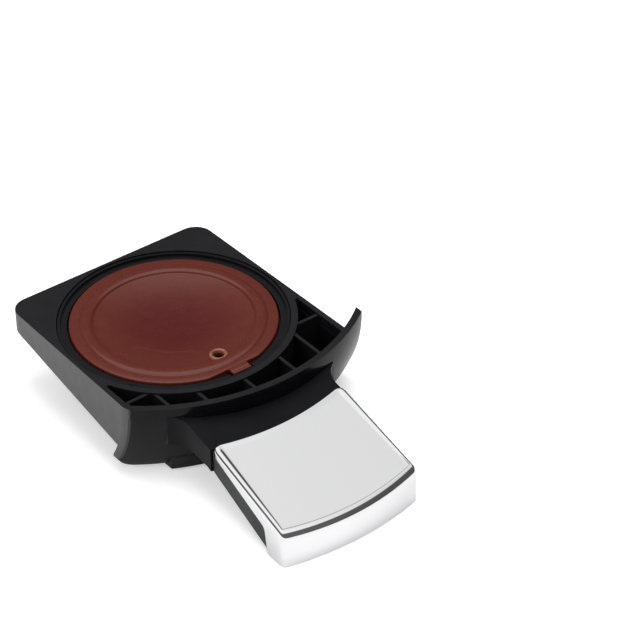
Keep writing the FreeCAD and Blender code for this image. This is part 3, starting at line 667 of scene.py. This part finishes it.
def lidHeight(x, y):
    radius = math.hypot(x, y)
    edge = lid["dishRadius"]
    if radius < edge:
        high = -lid["dishDrop"] - lid["dishDeep"] * (1 - (radius / edge) ** 2)
    else:
        high = -lid["dishDrop"] * (1 - smoothStep((radius - edge) / 0.3))
    ridge = (radius - (lid["ringOut"] + lid["ringIn"]) / 2) / ((lid["ringOut"] - lid["ringIn"]) / 2)
    if abs(ridge) < 1:
        high += lid["ringHigh"] * (1 - abs(ridge) ** 3.5)
    # kidney recess between the dish's middle and the ring, on the left of the needle hole
    angle = math.degrees(math.atan2(-x, -y))
    along = (angle - (lid["kidneyFrom"] + lid["kidneyTo"]) / 2) / ((lid["kidneyTo"] - lid["kidneyFrom"]) / 2)
    across = (radius - lid["kidneyAt"]) / lid["kidneyHalf"]
    inside = 1 - (abs(along) ** 4 + abs(across) ** 2.6)
    high -= lid["kidneyDeep"] * smoothStep(inside * 2.0)
    return lid["top"] + high


def lidReach(turn):
    # flange radius, cut straight along the hinge side
    towards = -math.sin(turn)
    return min(lid["radius"], lid["chord"] / towards) if towards > 0 else lid["radius"]


def makeLid():
    radii = [i * 0.35 for i in range(1, 57)] + [19.8 + i * 0.1 for i in range(50)]
    around = lid["around"]
    points, rows = [(0, 0, lidHeight(0, 0))], [[0] * around]

    def addRow(pointAt):
        rows.append(list(range(len(points), len(points) + around)))
        for k in range(around):
            points.append(pointAt(2 * math.pi * k / around))

    def ring(radius, high):
        return lambda turn: (radius * math.cos(turn), radius * math.sin(turn), high)

    def surface(radius):
        return lambda turn: (radius * math.cos(turn), radius * math.sin(turn),
                             lidHeight(radius * math.cos(turn), radius * math.sin(turn)))

    def flange(inset, high):
        def point(turn):
            reach = lidReach(turn) - inset
            return reach * math.cos(turn), reach * math.sin(turn), high
        return point

    for radius in radii:
        addRow(surface(radius))
    top, low = lid["top"], lid["top"] - lid["thick"]
    soft = lid["soft"]
    for step in range(5):
        turn = math.pi / 2 * step / 4
        addRow(flange(soft * (1 - math.sin(turn)), top - soft * (1 - math.cos(turn))))
    addRow(flange(0, low + soft))
    addRow(flange(soft * 0.3, low + soft * 0.3))
    addRow(flange(soft, low))
    out, inner, foot = lid["plugOut"], lid["plugIn"], lid["plugLow"]
    deep, grooveLow, grooveHigh = lid["grooveIn"], lid["grooveLow"], lid["grooveHigh"]
    for radius, high in ((out, low), (out, grooveHigh + 0.05), (deep, grooveHigh), (deep, grooveLow),
                         (out, grooveLow - 0.05), (out, foot + 0.2), (out - 0.2, foot),
                         (inner + 0.2, foot), (inner, foot + 0.2), (inner, low - 0.6)):
        addRow(ring(radius, high))
    for radius in (lid["dishRadius"], 15.0, 10.0, 5.0):
        fall = lid["dishDeep"] * (1 - (radius / lid["dishRadius"]) ** 2)
        addRow(ring(radius, top - lid["dishDrop"] - lid["shell"] - fall))
    rows.append([len(points)] * around)
    points.append((0, 0, top - lid["dishDrop"] - lid["shell"] - lid["dishDeep"]))

    faces = []
    for upper, lower in zip(rows, rows[1:]):
        for k in range(around):
            after = (k + 1) % around
            ringOf = list(dict.fromkeys([upper[k], lower[k], lower[after], upper[after]]))
            if len(ringOf) > 2:
                faces.append(ringOf)
    obj = makeObject("podLid", points, faces)
    outwards(obj)
    needle, above, below = lid["needleRadius"], top + 6.6, top - 2.8
    drill = lathe("needleDrill", [(0, above), (needle, above), (needle, below), (0, below)], 64,
                  (0, lid["needleY"]))
    outwards(drill)
    bore = obj.modifiers.new("needleBore", "BOOLEAN")
    bore.object = drill
    bore.operation = "DIFFERENCE"
    bore.solver = "EXACT"
    bake(obj)
    bpy.data.objects.remove(drill)
    smoothSides(obj, 35)
    return finishPiece(obj, "lid", "pod_plastic", redBrown, "pod_lid")


def makeNeedleRim():
    # rounded collar that stands round the needle hole
    inner, outer = lid["needleRadius"], lid["bossRadius"]
    low, rise = lid["top"] - 0.9, lid["top"] + lid["bossRise"]
    middle, half = (inner + outer) / 2, (outer - inner) / 2
    profile = [(outer, low)]
    for step in range(13):
        turn = math.pi * step / 12
        profile.append((middle + half * math.cos(turn), rise - half * (1 - math.sin(turn))))
    profile.append((inner, low))
    obj = lathe("needleCollar", profile, 72, (0, lid["needleY"]), closed=True)
    outwards(obj)
    smoothSides(obj, 40)
    return finishPiece(obj, "lid", "pod_plastic", paleRim)


makeLid()
makeNeedleRim()
print("pod lid made")


# hinge strap: a flexible tab that joins lid and cup flange, thinner at its flex line

strap = {"middle": 1.2, "half": 2.8, "from": -25.2, "to": -28.4, "low": 22.6, "high": 23.38, "flex": -27.5,
         "thin": 0.22, "edgeRound": 0.3, "rows": 32, "columns": 28}


def makeStrap():
    rows, columns = strap["rows"], strap["columns"]
    points, faces = [], []
    for side in (1, -1):
        for i in range(rows + 1):
            y = strap["from"] + (strap["to"] - strap["from"]) * i / rows
            pinch = strap["thin"] * math.exp(-((y - strap["flex"]) / 0.25) ** 2)
            middle, thick = (strap["high"] + strap["low"]) / 2, strap["high"] - strap["low"]
            level = middle + side * (thick / 2 - pinch)
            for j in range(columns + 1):
                across = 2 * j / columns - 1
                x = strap["middle"] + strap["half"] * across
                rim = strap["edgeRound"]
                near = min(strap["half"] * (1 - abs(across)), y - strap["to"])
                fall = rim - math.sqrt(max(rim ** 2 - max(rim - near, 0) ** 2, 0))
                points.append((x, y, level - side * fall))
    stride = columns + 1
    sheetSize = (rows + 1) * stride
    for base in (0, sheetSize):
        for i in range(rows):
            for j in range(columns):
                a = base + i * stride + j
                faces.append((a, a + 1, a + stride + 1, a + stride))
    border = [j for j in range(columns)] + [i * stride + columns for i in range(rows)]
    border += [rows * stride + j for j in range(columns, 0, -1)] + [i * stride for i in range(rows, 0, -1)]
    for a, b in zip(border, border[1:] + border[:1]):
        faces.append((a, b, b + sheetSize, a + sheetSize))
    obj = makeObject("hingeStrap", points, faces)
    outwards(obj)
    smoothSides(obj, 40)
    obj.data.materials.append(redBrown)
    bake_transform(obj)
    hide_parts("hinge_strap")


makeStrap()


# repeated pieces by geometry nodes

class Rule:
    # a geometry node tree with named inputs

    def __init__(self, name, **inputs):
        self.tree = bpy.data.node_groups.new(name, "GeometryNodeTree")
        self.tree.interface.new_socket("Geometry", in_out="INPUT", socket_type="NodeSocketGeometry")
        self.sockets = {}
        for key, value in inputs.items():
            kind = "NodeSocketInt" if isinstance(value, int) else "NodeSocketFloat"
            self.sockets[key] = self.tree.interface.new_socket(key, in_out="INPUT", socket_type=kind)
        self.tree.interface.new_socket("Geometry", in_out="OUTPUT", socket_type="NodeSocketGeometry")
        self.values = inputs
        self.start = self.tree.nodes.new("NodeGroupInput")
        self.end = self.tree.nodes.new("NodeGroupOutput")

    def node(self, kind, links=None, **settings):
        made = self.tree.nodes.new(kind)
        for key, value in settings.items():
            setattr(made, key, value)
        for socket, source in (links or {}).items():
            target = made.inputs[socket]
            if isinstance(source, bpy.types.NodeSocket):
                self.tree.links.new(source, target)
            else:
                target.default_value = source
        return made

    def given(self, name):
        return self.start.outputs[name]

    def calc(self, operation, a, b=0.0):
        return self.node("ShaderNodeMath", {0: a, 1: b}, operation=operation).outputs[0]

    def finish(self, geometry, material):
        real = self.node("GeometryNodeRealizeInstances", {"Geometry": geometry}).outputs[0]
        done = self.node("GeometryNodeSetMaterial", {"Geometry": real, "Material": material}).outputs[0]
        self.tree.links.new(done, self.end.inputs[0])

    def make(self, obj):
        modifier = obj.modifiers.new(self.tree.name, "NODES")
        modifier.node_group = self.tree
        for key, value in self.values.items():
            modifier[self.sockets[key].identifier] = value
        return bake(obj)


filterMesh = {"radius": 15.8, "pitch": 0.42, "wire": 0.12}


def makeFilter():
    # woven steel: two layers of fine wires, each wire as long as the disc is there
    low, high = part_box("filter_mesh")
    count = int(2 * filterMesh["radius"] / filterMesh["pitch"])
    rule = Rule("wovenSteel", radius=filterMesh["radius"] * mm, pitch=filterMesh["pitch"] * mm,
                wire=filterMesh["wire"] * mm, count=count)
    wires = []
    for turn, level in ((0.0, 0.3), (math.pi / 2, 0.7)):
        spread = rule.calc("MULTIPLY", rule.given("pitch"), rule.calc("SUBTRACT", rule.given("count"), 1.0))
        first = rule.calc("MULTIPLY", spread, -0.5)
        start = rule.node("ShaderNodeCombineXYZ", {"X": first}).outputs[0]
        step = rule.node("ShaderNodeCombineXYZ", {"X": rule.given("pitch")}).outputs[0]
        line = rule.node("GeometryNodeMeshLine", {"Count": rule.given("count"), "Start Location": start,
                                                  "Offset": step}).outputs[0]
        place = rule.node("GeometryNodeInputPosition").outputs[0]
        x = rule.node("ShaderNodeSeparateXYZ", {0: place}).outputs["X"]
        squares = rule.calc("SUBTRACT", rule.calc("POWER", rule.given("radius"), 2.0),
                            rule.calc("MULTIPLY", x, x))
        length = rule.calc("MULTIPLY", rule.calc("SQRT", squares), 2.0)
        wire = rule.node("GeometryNodeMeshCylinder", {
            "Vertices": 6, "Radius": rule.given("wire"), "Depth": 1.0})
        wire.fill_type = "NGON"
        scale = rule.node("ShaderNodeCombineXYZ", {"X": 0.5, "Y": 0.5, "Z": length}).outputs[0]
        laid = rule.node("GeometryNodeInstanceOnPoints", {
            "Points": line, "Instance": wire.outputs["Mesh"], "Rotation": (math.pi / 2, 0, 0),
            "Scale": scale,
        }).outputs[0]
        layer = rule.node("GeometryNodeTransform", {
            "Geometry": laid, "Rotation": (0, 0, turn),
            "Translation": (0, 0, low.z + (high.z - low.z) * level)}).outputs[0]
        wires.append(layer)
    both = rule.node("GeometryNodeJoinGeometry")
    for layer in wires:
        rule.tree.links.new(layer, both.inputs[0])
    rule.finish(both.outputs[0], meshSteel)
    obj = makeObject("filterScreen", [(0, 0, 0)], [])
    rule.make(obj)
    return finishPiece(obj, "pod", "pod_steel", None, "filter_mesh")


makeFilter()


screwLook = {"head": 2.5, "headHigh": 1.3, "seat": 1.4, "shank": 1.25, "thread": 0.5, "recess": 0.9,
             "slope": 0.4417, "low": 11.5, "lowAt": -42.0, "turns": 11, "crossWide": 0.38, "crossLong": 1.45,
             "rows": {"cover_screws": -57.0, "root_screws": -48.5}}


def screwBlank():
    # head with rounded rim and a cross recess, and a threaded shank along +Z from the head
    head, high, shank = screwLook["head"], screwLook["headHigh"], screwLook["shank"]
    profile = [(0, 0), (head - 0.5, 0), (head - 0.15, 0.15), (head, 0.5), (head, high), (shank, high)]
    turns = screwLook["turns"]
    for i in range(turns):
        base = high + 0.15 + i * screwLook["thread"]
        profile += [(shank, base), (shank - 0.28, base + screwLook["thread"] / 2)]
    tip = high + 0.4 + turns * screwLook["thread"]
    profile += [(shank - 0.5, tip), (0, tip + 0.1)]
    blank = lathe("screwBlank", profile, 40)
    outwards(blank)
    for turn in (0, 1):
        wide, long = screwLook["crossWide"], screwLook["crossLong"]
        size = (long, wide) if turn else (wide, long)
        box = [(x * size[0], y * size[1], level) for level in (-0.5, screwLook["recess"]) for x, y in
               ((-1, -1), (1, -1), (1, 1), (-1, 1))]
        bar = makeObject("recessBar", box, [
            (0, 3, 2, 1), (4, 5, 6, 7), (0, 1, 5, 4), (1, 2, 6, 5), (2, 3, 7, 6), (3, 0, 4, 7)])
        cutBar = blank.modifiers.new("recess", "BOOLEAN")
        cutBar.object = bar
        cutBar.solver = "EXACT"
        bake(blank)
        bpy.data.objects.remove(bar)
    smoothSides(blank, 35)
    return blank


def makeScrews():
    tilt = math.atan(screwLook["slope"])
    blank = screwBlank()
    for node, name in (("cover_screws", "coverScrews"), ("root_screws", "rootScrews")):
        low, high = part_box(node)
        offset = (high.x - low.x) / 2 / mm - screwLook["head"]
        rule = Rule(name + "Rule", offset=offset * mm, tilt=tilt)
        x = rule.given("offset")
        start = rule.node("ShaderNodeCombineXYZ", {"X": rule.calc("MULTIPLY", x, -1.0)}).outputs[0]
        step = rule.node("ShaderNodeCombineXYZ", {"X": rule.calc("MULTIPLY", x, 2.0)}).outputs[0]
        line = rule.node("GeometryNodeMeshLine", {
            "Count": 2, "Start Location": start, "Offset": step}).outputs[0]
        model = rule.node("GeometryNodeObjectInfo", {"Object": blank}).outputs["Geometry"]
        turned = rule.node("ShaderNodeCombineXYZ", {"X": rule.given("tilt")}).outputs[0]
        placed = rule.node("GeometryNodeInstanceOnPoints", {
            "Points": line, "Instance": model, "Rotation": turned}).outputs[0]
        spotY = screwLook["rows"][node]
        spotZ = screwLook["low"] + (spotY - screwLook["lowAt"]) * screwLook["slope"]
        lift = screwLook["seat"] - screwLook["headHigh"]
        move = (0, (spotY - lift * math.sin(tilt)) * mm, (spotZ + lift * math.cos(tilt)) * mm)
        moved = rule.node("GeometryNodeTransform", {"Geometry": placed, "Translation": move}).outputs[0]
        rule.finish(moved, screwSteel)
        obj = makeObject(name, [(0, 0, 0)], [])
        rule.make(obj)
        finishPiece(obj, "drawer", "screw_steel", None, node)
    bpy.data.objects.remove(blank)


makeScrews()
print("strap, filter and screws made")
